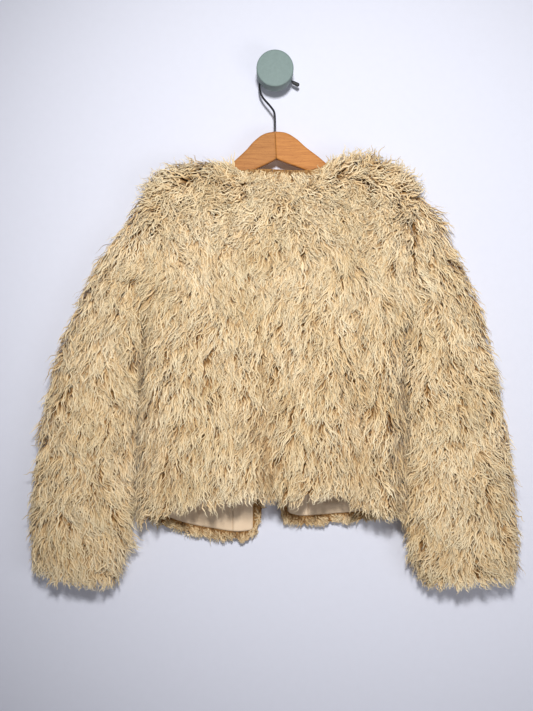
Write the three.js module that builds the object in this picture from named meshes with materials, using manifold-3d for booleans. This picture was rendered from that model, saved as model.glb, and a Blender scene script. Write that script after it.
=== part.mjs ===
// A short faux fur coat, open in front and without a collar, on a wooden hanger that hangs
// from a round wall knob. Its back faces the room and its fronts face the wall.
// Millimetres, +Z up, wall plane at Y = 0, room at -Y, origin in the middle of the knob's foot.
// "left" is the side of -X, which is the viewer's left and the wearer's left.
import * as THREE from "three";
import { mergeVertices } from "three/addons/utils/BufferGeometryUtils.js";
import Module from "manifold-3d";

// Fabric
const SHOULDER_WALL = 13; // backing and pile together, where the hanger carries them
const FUR_WALL = 10; // the same elsewhere
const EDGE_WALL = 6; // the same round the neckline, where the pile is pressed flat
const LINING_WALL = 1.2;
const SEAM_GAP = 0.3;
const SHARE_UNDERARM = 0.47; // of the side's length, where the armhole ends

// Knob, hook and hanger
const KNOB_RADIUS = 26;
const KNOB_DEPTH = 48;
const KNOB_DISC = 26;
const STEM_RADIUS = 9.1;
const WIRE_RADIUS = 1.6;
const HANGER_TOP_Z = -85.5;
const HANGER_Y = -30;
const HANGER_THICK = 12;
const HANGER_BEVEL = 1.8;
const HANGER_TILT = THREE.MathUtils.degToRad(3);
const JOINT_GAP = 0.3;
const HOOK_HOLE_RADIUS = 2.3;

// The middle of the coat's thickness, where back and fronts are seamed, at top and hem
const SEAM_Y_TOP = -30;
const SEAM_Y_HEM = -35;
const FRONT_FACE_Y = -3; // the fronts' pile, beside the wall
const SHOULDER_ROUND = 25; // height over which back and fronts curve to the shoulder seam
const ARMHOLE_HALF_DEPTH = 26;

// How far the back stands out from the seam plane, from the shoulder to the hem
const BACK_DEPTH = {
  share: [0, 0.2, 0.47, 0.75, 1],
  depth: [27, 33, 41, 46, 48],
};

// Sides: the shoulder tip, and the lower corner of the side seam
const SIDES = {
  left: { tipX: -172.8, tipZ: -161, hemX: -193, hemZ: -626, frontTopX: -20, frontHemX: -19 },
  right: { tipX: 196.8, tipZ: -166.5, hemX: 183, hemZ: -624, frontTopX: 4, frontHemX: 6 },
};
const UNDERARM = { left: { x: -184 }, right: { x: 182.6 } };

// Upper edge of the back, from one shoulder tip over the nape to the other
const TOP_LINE = {
  x: [-172.8, -152, -126, -95, -80, -55, -18, 36, 67, 86, 107, 148, 176, 196.8],
  z: [-161, -144, -135, -133, -133.5, -143, -141, -143, -138.5, -125, -123, -131, -144, -166.5],
};
// Neck: where the shoulder seams begin, and how deep the fronts are cut
const NECK = { leftX: -80, rightX: 86, middleX: 2, frontDrop: 74 };

// Lower edge of the back
const HEM_LINE = {
  x: [-193, -152, -104, -56, -16, 20, 60, 88, 121, 160, 183],
  z: [-626, -616, -600, -594, -590, -596, -587, -587, -606, -618, -624],
};
// Lower edges of the fronts' pile, from the side seam to the rounded corner
const FRONT_HEM = {
  left: {
    x: [-193, -130, -92, -55, -36, -26, -19],
    z: [-626, -652, -660, -664, -662, -652, -630],
  },
  right: {
    x: [6, 13, 24, 40, 70, 120, 183],
    z: [-612, -628, -638, -641, -640, -636, -624],
  },
};
const LINING_EDGE = 10; // the pile shows this far below the lining
const FACING_EDGE = 12.5; // and this far beyond the facing at the front edges
const FACING_WIDTH = 29;

// Large folds of the back: ridges stand out, valleys go in
const BACK_FOLDS = [
  { x: 158, width: 17, out: 10, top: -300 },
  { x: 104, width: 20, out: -8, top: -330 },
  { x: 60, width: 24, out: 4, top: -380 },
  { x: -8, width: 16, out: -7, top: -360 },
  { x: -70, width: 30, out: 4, top: -400 },
  { x: -150, width: 18, out: -4, top: -390 },
];
const FOLD_REACH = 150; // a fold grows to its full depth over this height

// Sleeves: outer and inner line, middle and half depth, from the armhole to the cuff
const SLEEVES = {
  left: {
    outerX: [-172.8, -212, -251.5, -281, -305, -321.5, -333, -340, -337],
    outerZ: [-161, -217, -275, -341, -405, -476, -549, -626, -699],
    innerX: [-184, -188.5, -190.5, -192, -193.5, -196, -200, -206, -226],
    innerZ: [-379.6, -396, -419, -453, -492, -537, -591, -645, -715],
    midY: [-30, -31, -32, -33, -34, -35, -36, -36, -36],
    halfDepth: [26, 27, 28, 29, 30, 31, 32, 32, 31],
  },
  right: {
    outerX: [196.8, 232, 251, 280, 298, 315, 327.5, 335, 339],
    outerZ: [-166.5, -203, -253, -313, -380, -453, -535, -619, -706],
    innerX: [182.6, 186.5, 187, 187, 187, 187, 187, 188.5, 209],
    innerZ: [-381.5, -397, -420, -453, -492, -537, -591, -650, -717],
    midY: [-30, -31, -32, -33, -34, -35, -36, -36, -36],
    halfDepth: [26, 27, 28, 29, 30, 31, 32, 32, 31],
  },
};
const ROUND_STEPS = 30; // points round a sleeve
const PART_STEPS = 10; // steps along each length of a sleeve
const ELBOW = 0.5; // share of the sleeve's length where its two lengths are seamed
const ELBOW_GAP = 0.0003; // half of that seam's gap, as a share of the length

// Half of the hanger's outline, seen from the room: upper edge and lower edge
const HANGER_HALF = {
  topX: [0, 11, 17, 30, 42, 58, 76, 95, 120, 140, 147],
  topZ: [0, -1.4, -3.3, -12, -24, -37.5, -53.5, -64, -72.5, -77.5, -82],
  lowX: [147, 140, 120, 95, 76, 58, 33, 4, 0],
  lowZ: [-89, -92.5, -88, -81.5, -73.5, -64.5, -53.5, -40.8, -38.4],
};

// The hook's wire, from the hanger up round the knob's stem, with the lean towards the wall
const HOOK_LINE = {
  x: [0, 0, -1, -5, -17, -20.8, -22, -20.5, -12.5, 0, 12, 19, 22, 25.4],
  y: [-30, -29.9, -28, -26.9, -24, -22.8, -19.6, -17.4, -16.4, -16, -16, -16.4, -17, -17.5],
  z: [-93, -84, -57, -50, -35, -26.6, -12, -1, 8.2, 11, 8, 0.6, -6.5, -11],
};

const clamp = (v, low, high) => Math.min(high, Math.max(low, v));
const mix = (a, b, t) => a + (b - a) * t;
const ease = (t) => {
  const c = clamp(t, 0, 1);
  return c * c * (3 - 2 * c);
};

// Value of a smooth line through a table's rows, by one column
function along(keys, values, at) {
  const last = keys.length - 1;
  if (at <= keys[0]) return values[0];
  if (at >= keys[last]) return values[last];
  let i = 0;
  while (at > keys[i + 1]) i++;
  const slope = (j) => (values[j + 1] - values[j]) / (keys[j + 1] - keys[j]);
  const tangent = (j) => {
    if (j === 0) return slope(0);
    if (j === last) return slope(last - 1);
    const before = slope(j - 1);
    const after = slope(j);
    return before * after <= 0 ? 0 : (2 * before * after) / (before + after);
  };
  const span = keys[i + 1] - keys[i];
  const t = (at - keys[i]) / span;
  const t2 = t * t;
  const t3 = t2 * t;
  return (
    (2 * t3 - 3 * t2 + 1) * values[i] +
    (t3 - 2 * t2 + t) * span * tangent(i) +
    (3 * t2 - 2 * t3) * values[i + 1] +
    (t3 - t2) * span * tangent(i + 1)
  );
}

// Closed geometry from a list of corner points and a list of four-cornered faces
function closedGeometry(points, quads) {
  const flat = points.flatMap((p) => [p.x, p.y, p.z]);
  const index = quads.flatMap(([a, b, c, d]) => [a, b, c, a, c, d]);
  let volume = 0;
  for (let i = 0; i < index.length; i += 3) {
    const [a, b, c] = [0, 1, 2].map((k) => points[index[i + k]]);
    volume += a.dot(new THREE.Vector3().crossVectors(b, c)) / 6;
  }
  if (volume < 0) index.reverse();
  const geometry = new THREE.BufferGeometry();
  geometry.setAttribute("position", new THREE.Float32BufferAttribute(flat, 3));
  geometry.setIndex(index);
  geometry.computeVertexNormals();
  return geometry;
}

// A wall between two grids of points with the same rows and columns
function gridWall(outer, inner) {
  const rows = outer.length;
  const columns = outer[0].length;
  const points = [...outer.flat(), ...inner.flat()];
  const out = (r, c) => r * columns + c;
  const into = (r, c) => rows * columns + r * columns + c;
  const quads = [];
  for (let r = 0; r + 1 < rows; r++) {
    for (let c = 0; c + 1 < columns; c++) {
      quads.push([out(r, c), out(r, c + 1), out(r + 1, c + 1), out(r + 1, c)]);
      quads.push([into(r, c), into(r + 1, c), into(r + 1, c + 1), into(r, c + 1)]);
    }
    quads.push([out(r, 0), out(r + 1, 0), into(r + 1, 0), into(r, 0)]);
    const e = columns - 1;
    quads.push([out(r, e), into(r, e), into(r + 1, e), out(r + 1, e)]);
  }
  for (let c = 0; c + 1 < columns; c++) {
    quads.push([out(0, c), into(0, c), into(0, c + 1), out(0, c + 1)]);
    const e = rows - 1;
    quads.push([out(e, c), out(e, c + 1), into(e, c + 1), into(e, c)]);
  }
  return closedGeometry(points, quads);
}

// A tube wall between outer and inner rings
function ringWall(outer, inner) {
  const rings = outer.length;
  const round = outer[0].length;
  const points = [...outer.flat(), ...inner.flat()];
  const out = (r, c) => r * round + (c % round);
  const into = (r, c) => rings * round + r * round + (c % round);
  const quads = [];
  for (let c = 0; c < round; c++) {
    for (let r = 0; r + 1 < rings; r++) {
      quads.push([out(r, c), out(r, c + 1), out(r + 1, c + 1), out(r + 1, c)]);
      quads.push([into(r, c), into(r + 1, c), into(r + 1, c + 1), into(r, c + 1)]);
    }
    quads.push([out(0, c), into(0, c), into(0, c + 1), out(0, c + 1)]);
    const e = rings - 1;
    quads.push([out(e, c), out(e, c + 1), into(e, c + 1), into(e, c)]);
  }
  return closedGeometry(points, quads);
}

// Unit normals of a grid of points, turned to the side of "facing"
function gridNormals(grid, facing) {
  const row = (r) => clamp(r, 0, grid.length - 1);
  const column = (c) => clamp(c, 0, grid[0].length - 1);
  return grid.map((line, r) =>
    line.map((_, c) => {
      const across = grid[r][column(c + 1)].clone().sub(grid[r][column(c - 1)]);
      const down = grid[row(r + 1)][c].clone().sub(grid[row(r - 1)][c]);
      const normal = across.cross(down).normalize();
      return normal.dot(facing) < 0 ? normal.negate() : normal;
    }),
  );
}

// Sides of the coat
const sideX = (side, w) => {
  const s = SIDES[side];
  const under = UNDERARM[side].x;
  return w < SHARE_UNDERARM
    ? mix(s.tipX, under, w / SHARE_UNDERARM)
    : mix(under, s.hemX, (w - SHARE_UNDERARM) / (1 - SHARE_UNDERARM));
};
const sideZ = (side, w) => mix(SIDES[side].tipZ, SIDES[side].hemZ, w);
const seamY = (w) => mix(SEAM_Y_TOP, SEAM_Y_HEM, clamp((w - SHARE_UNDERARM) * 2, 0, 1));

// A point of the armhole's loop: turn 0 at the shoulder tip, half a turn at the underarm,
// "face" -1 on the back and 1 on the front, "inset" inwards by the wall
function armholePoint(side, turn, face, inset) {
  const tip = new THREE.Vector3(sideX(side, 0), SEAM_Y_TOP, sideZ(side, 0));
  const under = new THREE.Vector3(sideX(side, SHARE_UNDERARM), SEAM_Y_TOP, sideZ(side, SHARE_UNDERARM));
  return loopPoint(tip, under, ARMHOLE_HALF_DEPTH, turn, face, inset);
}

function loopPoint(from, to, halfDepth, turn, face, inset) {
  const middle = from.clone().add(to).multiplyScalar(0.5);
  const arm = from.clone().sub(to).multiplyScalar(0.5);
  const kept = (arm.length() - inset) / arm.length();
  const point = middle.addScaledVector(arm, Math.cos(turn) * kept);
  point.y += face * Math.sin(turn) * (halfDepth - inset);
  return point;
}

const neckOpen = (x) =>
  ease((x - NECK.leftX) / 20) * ease((NECK.rightX - x) / 20);
const nearNeck = (x) =>
  ease((x - NECK.leftX + 30) / 25) * ease((NECK.rightX + 30 - x) / 25);

// Wall of back and fronts, "below" their upper edge and away from it
function wallThickness(x, below) {
  const wall = mix(SHOULDER_WALL, FUR_WALL, ease((below - 40) / 60));
  return wall - (wall - EDGE_WALL) * nearNeck(x) * (1 - ease(below / 28));
}

// Rows of a panel from its upper edge to its hem, as shares of its height: close together
// where it curves over the shoulder, one at the underarm and one where the lining ends
function panelRows(height) {
  const shoulder = [0, 22, 45, 68, 90].map(
    (deg) => (SHOULDER_ROUND * (1 - Math.cos(THREE.MathUtils.degToRad(deg)))) / height,
  );
  const rows = [...shoulder];
  for (let i = 1; i <= 7; i++) rows.push(mix(shoulder[4], SHARE_UNDERARM, i / 7));
  const last = 1 - LINING_EDGE / height;
  for (let i = 1; i <= 9; i++) rows.push(mix(SHARE_UNDERARM, last, i / 9));
  rows.push(1);
  return rows;
}

function foldOut(x, z) {
  return BACK_FOLDS.reduce((sum, fold) => {
    const across = (x - fold.x) / fold.width;
    const grown = ease((fold.top - z) / FOLD_REACH);
    return sum + fold.out * Math.exp(-across * across) * grown;
  }, 0);
}

const roundAcross = (s) => Math.sqrt(Math.max(0, 1 - Math.abs(s) ** 5));
const roundDown = (below) =>
  Math.sqrt(Math.max(0, 1 - (1 - clamp(below / SHOULDER_ROUND, 0, 1)) ** 2));

// Depth of a panel from the seam plane: the loop's depth at its edge, more across it;
// "below" is measured from the shoulder's height
function panelDepth(s, w, below, x, full, face) {
  const side = s < 0 ? "left" : "right";
  const turn = Math.acos(clamp(1 - (2 * w) / SHARE_UNDERARM, -1, 1));
  const edge = face * (armholePoint(side, turn, face, 0).y - SEAM_Y_TOP);
  const closing = mix(roundDown(below), mix(0.8, 1, ease(below / 40)), neckOpen(x));
  return edge + (full * closing - edge) * roundAcross(s);
}

// Inner side of a panel; its edges at armholes, side seams and shoulder seams are cut square.
// "open" is 1 where a column's upper end is a free edge and 0 on a shoulder seam
function innerSide(grid, rows, topZ, open, face, edgeColumns) {
  const normals = gridNormals(grid, new THREE.Vector3(0, face, 0));
  const inner = grid.map((line, r) =>
    line.map((p, c) => {
      const wall = wallThickness(p.x, topZ[c] - p.z);
      const q = p.clone().addScaledVector(normals[r][c], -wall);
      if (r === 0) {
        q.copy(p).z -= wall * (1 - open[c]);
        q.y -= face * wall * open[c];
      }
      return q;
    }),
  );
  for (const [c, side] of edgeColumns) {
    const inwards = side === "left" ? 1 : -1;
    rows.forEach((w, r) => {
      if (w <= SHARE_UNDERARM + 1e-6) {
        const turn = Math.acos(clamp(1 - (2 * w) / SHARE_UNDERARM, -1, 1));
        const near = ease((w / SHARE_UNDERARM - 0.75) / 0.25);
        inner[r][c] = armholePoint(side, turn, face, FUR_WALL * mix(1, 0.75, near));
        inner[r][c].x += inwards * (SEAM_GAP / 2 + near * FUR_WALL * 0.8);
        inner[r][c].y += (face * SEAM_GAP) / 2;
      } else {
        inner[r][c].copy(grid[r][c]).x += inwards * FUR_WALL;
      }
    });
  }
  return inner;
}

// Outer side and inner side of the back, from the left side seam to the right one
function backSides() {
  const columns = 34;
  const rows = panelRows(SIDES.left.tipZ - SIDES.left.hemZ);
  const spread = Array.from({ length: columns + 1 }, (_, i) => {
    const s = (2 * i) / columns - 1;
    return mix(s, Math.sin((s * Math.PI) / 2), 0.55);
  });
  const topZ = spread.map((s) =>
    along(TOP_LINE.x, TOP_LINE.z, mix(SIDES.left.tipX, SIDES.right.tipX, (s + 1) / 2)),
  );
  const hemZ = spread.map((s) =>
    along(HEM_LINE.x, HEM_LINE.z, mix(SIDES.left.hemX, SIDES.right.hemX, (s + 1) / 2)),
  );
  const outer = rows.map((w) =>
    spread.map((s, c) => {
      const x = mix(sideX("left", w) + SEAM_GAP / 2, sideX("right", w) - SEAM_GAP / 2, (s + 1) / 2);
      const z = mix(topZ[c], hemZ[c], w);
      const full = along(BACK_DEPTH.share, BACK_DEPTH.depth, w);
      const depth = panelDepth(s, w, topZ[c] - z, x, full, -1);
      const fold = foldOut(x, z) * roundAcross(s) ** 2;
      return new THREE.Vector3(x, seamY(w) - SEAM_GAP / 2 - depth - fold, z);
    }),
  );
  const open = outer[0].map((p) => neckOpen(p.x));
  const inner = innerSide(outer, rows, topZ, open, -1, [
    [0, "left"],
    [columns, "right"],
  ]);
  return { outer, inner, rows };
}

// Height of the shoulder seam at x, and of its end beside the neck
const shoulderHeight = (x) => {
  const out = x < NECK.middleX ? Math.min(x, NECK.leftX) : Math.max(x, NECK.rightX);
  return along(TOP_LINE.x, TOP_LINE.z, out);
};

// Upper edge of a front: the shoulder, then the neckline down to the front edge
function frontTopZ(side, x) {
  const from = side === "left" ? NECK.leftX : NECK.rightX;
  const to = SIDES[side].frontTopX;
  const q = clamp((x - to) / (from - to), 0, 1);
  return shoulderHeight(x) - NECK.frontDrop * (1 - q * q) ** 0.75;
}

// Columns of a front from the side seam to the front edge, as shares of its width
function frontColumns(width) {
  const edge = 1 - FACING_EDGE / width;
  const seam = edge - FACING_WIDTH / width;
  const shares = [];
  for (let i = 0; i < 11; i++) shares.push(seam * (i / 11) ** 1.35);
  return [...shares, seam, mix(seam, edge, 0.34), mix(seam, edge, 0.67), edge, 1];
}

function frontSides(side) {
  const s = SIDES[side];
  const rows = panelRows(s.tipZ - s.hemZ);
  const shares = frontColumns(Math.abs(s.hemX - s.frontHemX));
  const topX = shares.map((u) => mix(s.tipX, s.frontTopX, u));
  const hemX = shares.map((u) => mix(s.hemX, s.frontHemX, u));
  const topZ = topX.map((x) => frontTopZ(side, x));
  const shoulderZ = topX.map((x) => shoulderHeight(x));
  const hemZ = hemX.map((x) => along(FRONT_HEM[side].x, FRONT_HEM[side].z, x));
  const inwards = side === "left" ? 1 : -1;
  const outer = rows.map((w) =>
    shares.map((u, c) => {
      const start = sideX(side, w) + (inwards * SEAM_GAP) / 2;
      const x = mix(start, mix(s.frontTopX, s.frontHemX, w), u);
      const z = mix(topZ[c], hemZ[c], w);
      const full = FRONT_FACE_Y - seamY(w) - SEAM_GAP / 2;
      const across = (u - 1) * inwards;
      const depth = panelDepth(across, w, shoulderZ[c] - z, x, full, 1);
      return new THREE.Vector3(x, seamY(w) + SEAM_GAP / 2 + depth, z);
    }),
  );
  const open = topX.map((x, c) => Math.max(neckOpen(x), ease((shoulderZ[c] - topZ[c]) / 12)));
  const inner = innerSide(outer, rows, topZ, open, 1, [[0, side]]);
  return { outer, inner, rows, shares };
}

// A thin layer on the inner side of a front, made from the front's own points moved out
function layerOnFront(front, firstColumn, lastColumn) {
  const under = front.rows.findIndex((w) => w >= SHARE_UNDERARM - 1e-6) + 1;
  const lastRow = front.rows.length - 2;
  const cut = (grid) =>
    grid.slice(under, lastRow + 1).map((line) => line.slice(firstColumn, lastColumn + 1));
  const base = cut(front.inner);
  const normals = gridNormals(base, new THREE.Vector3(0, -1, 0));
  const moved = (far) =>
    base.map((line, r) => line.map((p, c) => p.clone().addScaledVector(normals[r][c], far)));
  return { near: moved(SEAM_GAP), far: moved(SEAM_GAP + LINING_WALL) };
}

function narrowed(layer, gapAtStart, gapAtEnd) {
  for (const grid of [layer.near, layer.far]) {
    for (const line of grid) {
      const e = line.length - 1;
      const start = line[1].clone().sub(line[0]).normalize();
      const end = line[e].clone().sub(line[e - 1]).normalize();
      line[0].addScaledVector(start, gapAtStart);
      line[e].addScaledVector(end, -gapAtEnd);
    }
  }
  return gridWall(layer.far, layer.near);
}

// A sleeve between two of its rings: part 0 from the armhole to the seam above the elbow,
// part 1 from there to the cuff
function sleevePart(side, part) {
  const table = SLEEVES[side];
  const rows = table.outerX.map((_, i) => i);
  const outwards = side === "left" ? -1 : 1;
  const ring = (share, inset) => {
    const at = share * (rows.length - 1);
    const value = (name) => along(rows, table[name], at);
    const from = new THREE.Vector3(value("outerX"), value("midY"), value("outerZ"));
    const to = new THREE.Vector3(value("innerX"), value("midY"), value("innerZ"));
    const fullness = 1 + 0.035 * Math.sin(at * 4.2) * ease(at);
    return Array.from({ length: ROUND_STEPS }, (_, i) => {
      const turn = (i / ROUND_STEPS) * Math.PI * 2;
      const point = loopPoint(from, to, value("halfDepth") * fullness, turn, 1, inset);
      point.x += (outwards * SEAM_GAP) / 2;
      return point;
    });
  };
  const [start, end] = part === 0 ? [0, ELBOW - ELBOW_GAP] : [ELBOW + ELBOW_GAP, 1];
  const rings = (inset) =>
    Array.from({ length: PART_STEPS + 1 }, (_, k) => ring(mix(start, end, k / PART_STEPS), inset));
  return ringWall(rings(0), rings(FUR_WALL));
}

const wasm = await Module();
wasm.setup();

function asSolid(geometry) {
  const bare = geometry.clone();
  bare.deleteAttribute("normal");
  bare.deleteAttribute("uv");
  const merged = mergeVertices(bare, 1e-4);
  return new wasm.Manifold(
    new wasm.Mesh({
      numProp: 3,
      vertProperties: new Float32Array(merged.attributes.position.array),
      triVerts: new Uint32Array(merged.index.array),
    }),
  );
}

function asGeometry(solid) {
  const mesh = solid.getMesh();
  const geometry = new THREE.BufferGeometry();
  geometry.setAttribute("position", new THREE.BufferAttribute(new Float32Array(mesh.vertProperties), 3));
  geometry.setIndex(new THREE.BufferAttribute(new Uint32Array(mesh.triVerts), 1));
  geometry.computeVertexNormals();
  return geometry;
}

// The whole hanger with rounded edges, then one half of it, with the hole for the wire
function hangerHalf(sign) {
  const half = HANGER_HALF;
  const right = [
    ...half.topX.map((x, i) => [x, half.topZ[i]]),
    ...half.lowX.map((x, i) => [x, half.lowZ[i]]),
  ];
  const left = right.map(([x, z]) => [-x, z]).reverse();
  const outline = [...right, ...left.slice(1, -1)].map(([x, z]) => new THREE.Vector2(x, z));
  const shape = new THREE.Shape(outline.reverse());
  const geometry = new THREE.ExtrudeGeometry(shape, {
    depth: HANGER_THICK - 2 * HANGER_BEVEL,
    bevelThickness: HANGER_BEVEL,
    bevelSize: HANGER_BEVEL,
    bevelOffset: -HANGER_BEVEL,
    bevelSegments: 2,
    curveSegments: 1,
  });
  geometry.translate(0, 0, -HANGER_THICK / 2 + HANGER_BEVEL);
  geometry.rotateX(Math.PI / 2);
  const box = new THREE.BoxGeometry(400, 60, 400);
  box.translate(sign * (200 + JOINT_GAP / 2), 0, 0);
  const hole = new THREE.CylinderGeometry(HOOK_HOLE_RADIUS, HOOK_HOLE_RADIUS, 30, 16);
  hole.rotateX(Math.PI / 2).translate(0, 0, 7);
  const cut = asSolid(geometry).intersect(asSolid(box)).subtract(asSolid(hole));
  const result = asGeometry(cut);
  result.rotateY(-HANGER_TILT);
  result.translate(0, HANGER_Y, HANGER_TOP_Z);
  return result;
}

function hookCurve() {
  return new THREE.CatmullRomCurve3(
    HOOK_LINE.x.map((x, i) => new THREE.Vector3(x, HOOK_LINE.y[i], HOOK_LINE.z[i])),
    false,
    "centripetal",
  );
}

function hookWire() {
  const circle = new THREE.Shape().absarc(0, 0, WIRE_RADIUS, 0, Math.PI * 2);
  return new THREE.ExtrudeGeometry(circle, {
    steps: 72,
    curveSegments: 5,
    bevelEnabled: false,
    extrudePath: hookCurve(),
  });
}

// Rubber cap beyond the wire's end, slightly wider towards its rounded tip
function hookTip() {
  const curve = hookCurve();
  const end = curve.getPoint(1);
  const direction = new THREE.Vector3(9, -0.6, -4.7).normalize();
  const profile = [
    [0, 0],
    [2.3, 0],
    [2.5, 0.5],
    [2.9, 7.5],
    [2.3, 9],
    [0, 9.4],
  ].map(([r, h]) => new THREE.Vector2(r, h));
  const cap = new THREE.LatheGeometry(profile, 16);
  cap.applyQuaternion(
    new THREE.Quaternion().setFromUnitVectors(new THREE.Vector3(0, 1, 0), direction),
  );
  const start = end.addScaledVector(direction, 2 * SEAM_GAP + 0.7);
  return cap.translate(start.x, start.y, start.z);
}

function knob() {
  const shoulder = KNOB_DEPTH - KNOB_DISC;
  const profile = [
    [0, 0],
    [STEM_RADIUS, 0],
    [STEM_RADIUS, shoulder],
    [KNOB_RADIUS - 1, shoulder],
    [KNOB_RADIUS, shoulder + 1],
    [KNOB_RADIUS, KNOB_DEPTH - 1.6],
    [KNOB_RADIUS - 0.5, KNOB_DEPTH - 0.5],
    [KNOB_RADIUS - 1.6, KNOB_DEPTH],
    [0, KNOB_DEPTH],
  ].map(([r, h]) => new THREE.Vector2(r, h));
  return new THREE.LatheGeometry(profile, 48).rotateX(Math.PI);
}

const COLOURS = {
  fur: { color: 0xd7c097, roughness: 0.95, metalness: 0 },
  lining: { color: 0xc9b399, roughness: 0.55, metalness: 0 },
  facing: { color: 0xcdb79d, roughness: 0.6, metalness: 0 },
  woodLeft: { color: 0xcf9256, roughness: 0.5, metalness: 0 },
  woodRight: { color: 0xd89552, roughness: 0.5, metalness: 0 },
  wire: { color: 0x5a5b5f, roughness: 0.25, metalness: 1 },
  cap: { color: 0x26282a, roughness: 0.6, metalness: 0 },
  knob: { color: 0x94a7a5, roughness: 0.55, metalness: 0 },
};

const part = new THREE.Group();
function add(name, geometry, colour) {
  const mesh = new THREE.Mesh(geometry, new THREE.MeshStandardMaterial(COLOURS[colour]));
  mesh.name = name;
  mesh.material.name = colour;
  part.add(mesh);
}

const back = backSides();
add("back", gridWall(back.outer, back.inner), "fur");
for (const side of ["left", "right"]) {
  const front = frontSides(side);
  const seam = front.shares.length - 5;
  const edge = front.shares.length - 2;
  add(`front_${side}`, gridWall(front.outer, front.inner), "fur");
  add(`lining_front_${side}`, narrowed(layerOnFront(front, 1, seam), 1, SEAM_GAP / 2), "lining");
  add(`facing_${side}`, narrowed(layerOnFront(front, seam, edge), SEAM_GAP / 2, 0), "facing");
  add(`sleeve_${side}_upper_arm`, sleevePart(side, 0), "fur");
  add(`sleeve_${side}_forearm`, sleevePart(side, 1), "fur");
}
add("hanger_left", hangerHalf(-1), "woodLeft");
add("hanger_right", hangerHalf(1), "woodRight");
add("hanger_hook", hookWire(), "wire");
add("hook_tip", hookTip(), "cap");
add("knob", knob(), "knob");

export default part;
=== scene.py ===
import math

import bpy
import numpy as np
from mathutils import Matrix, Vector


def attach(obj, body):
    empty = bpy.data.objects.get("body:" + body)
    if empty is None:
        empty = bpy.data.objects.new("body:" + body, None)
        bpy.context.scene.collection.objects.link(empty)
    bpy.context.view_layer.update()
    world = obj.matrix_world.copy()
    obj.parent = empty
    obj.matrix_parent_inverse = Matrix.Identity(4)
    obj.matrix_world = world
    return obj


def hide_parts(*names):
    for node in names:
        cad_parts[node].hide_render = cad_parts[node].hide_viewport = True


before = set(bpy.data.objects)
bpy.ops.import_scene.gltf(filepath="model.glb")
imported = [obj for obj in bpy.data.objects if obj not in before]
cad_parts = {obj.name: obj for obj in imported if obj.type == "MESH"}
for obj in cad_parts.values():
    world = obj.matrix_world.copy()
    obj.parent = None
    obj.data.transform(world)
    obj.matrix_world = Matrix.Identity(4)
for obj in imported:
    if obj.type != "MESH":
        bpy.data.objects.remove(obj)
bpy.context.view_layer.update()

# A short shaggy coat on a wooden hanger that hangs from a wall knob, seen from the room.
# The tables and forms are those of the solids, in millimetres; meshes are made in metres.
MM = 0.001

# Camera, for a picture of 533 by 711
PICTURE_HIGH = 711
FOCAL_PIXELS = 896.6
CAMERA_AT = (-0.0119, -1.3, -0.4019)

# Fabric
SHOULDER_WALL = 13.0
FUR_WALL = 10.0
EDGE_WALL = 6.0
BACKING = 2.0
LINING_WALL = 1.2
SATIN_WALL = 0.7 * LINING_WALL
SEAM_GAP = 0.3
SHARE_UNDERARM = 0.47
SEAM_Y_TOP = -30.0
SEAM_Y_HEM = -35.0
FRONT_FACE_Y = -3.0
SHOULDER_ROUND = 25.0
ARMHOLE_HALF_DEPTH = 26.0
BACK_DEPTH = {"share": [0, 0.2, 0.47, 0.75, 1], "depth": [27, 33, 41, 46, 48]}

SIDES = {
    "left": dict(tip=(-172.8, -161), under_x=-184, hem=(-193, -626), edge_x=(-20, -19), sign=-1),
    "right": dict(tip=(196.8, -166.5), under_x=182.6, hem=(183, -624), edge_x=(4, 6), sign=1),
}
TOP_LINE = {
    "x": [-172.8, -152, -126, -95, -80, -55, -18, 36, 67, 86, 107, 148, 176, 196.8],
    "z": [-161, -144, -135, -133, -133.5, -143, -141, -143, -138.5, -125, -123, -131, -144, -166.5],
}
NECK = {"left": -80, "right": 86, "middle": 2, "drop": 74}
HEM_LINE = {
    "x": [-193, -152, -104, -56, -16, 20, 60, 88, 121, 160, 183],
    "z": [-626, -616, -600, -594, -590, -596, -587, -587, -606, -618, -624],
}
FRONT_HEM = {
    "left": {
        "x": [-193, -130, -92, -55, -36, -26, -19],
        "z": [-626, -652, -660, -664, -662, -652, -630],
    },
    "right": {
        "x": [6, 13, 24, 40, 70, 120, 183],
        "z": [-612, -628, -638, -641, -640, -636, -624],
    },
}
LINING_EDGE = 10.0
FACING_EDGE = 12.5
FACING_WIDTH = 29.0
BACK_FOLDS = [
    dict(x=158, width=16, out=15, top=-285),
    dict(x=126, width=10, out=-6, top=-300),
    dict(x=104, width=20, out=-8, top=-330),
    dict(x=60, width=24, out=6, top=-380),
    dict(x=-8, width=15, out=-12, top=-330),
    dict(x=-70, width=30, out=5, top=-400),
    dict(x=-150, width=18, out=-6, top=-390),
]
FOLD_REACH = 150.0
# Painted shade in the back's folds: the pile darkens with a fold's depth, as a share of this many
# millimetres
FOLD_SHADE_DEPTH = 15.0
SLEEVE_SWELL = 0.035  # share by which a sleeve swells and narrows along its length
SLEEVES = {
    "left": {
        "outer_x": [-172.8, -212, -251.5, -281, -305, -321.5, -333, -340, -337],
        "outer_z": [-161, -217, -275, -341, -405, -476, -549, -626, -699],
        "inner_x": [-184, -188.5, -190.5, -192, -193.5, -196, -200, -206, -226],
        "inner_z": [-379.6, -396, -419, -453, -492, -537, -591, -645, -715],
        "mid_y": [-30, -31, -32, -33, -34, -35, -36, -36, -36],
        "half_depth": [26, 27, 28, 29, 30, 31, 32, 32, 31],
    },
    "right": {
        "outer_x": [196.8, 232, 251, 280, 298, 315, 327.5, 335, 339],
        "outer_z": [-166.5, -203, -253, -313, -380, -453, -535, -619, -706],
        "inner_x": [182.6, 186.5, 187, 187, 187, 187, 187, 188.5, 209],
        "inner_z": [-381.5, -397, -420, -453, -492, -537, -591, -650, -717],
        "mid_y": [-30, -31, -32, -33, -34, -35, -36, -36, -36],
        "half_depth": [26, 27, 28, 29, 30, 31, 32, 32, 31],
    },
}

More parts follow.
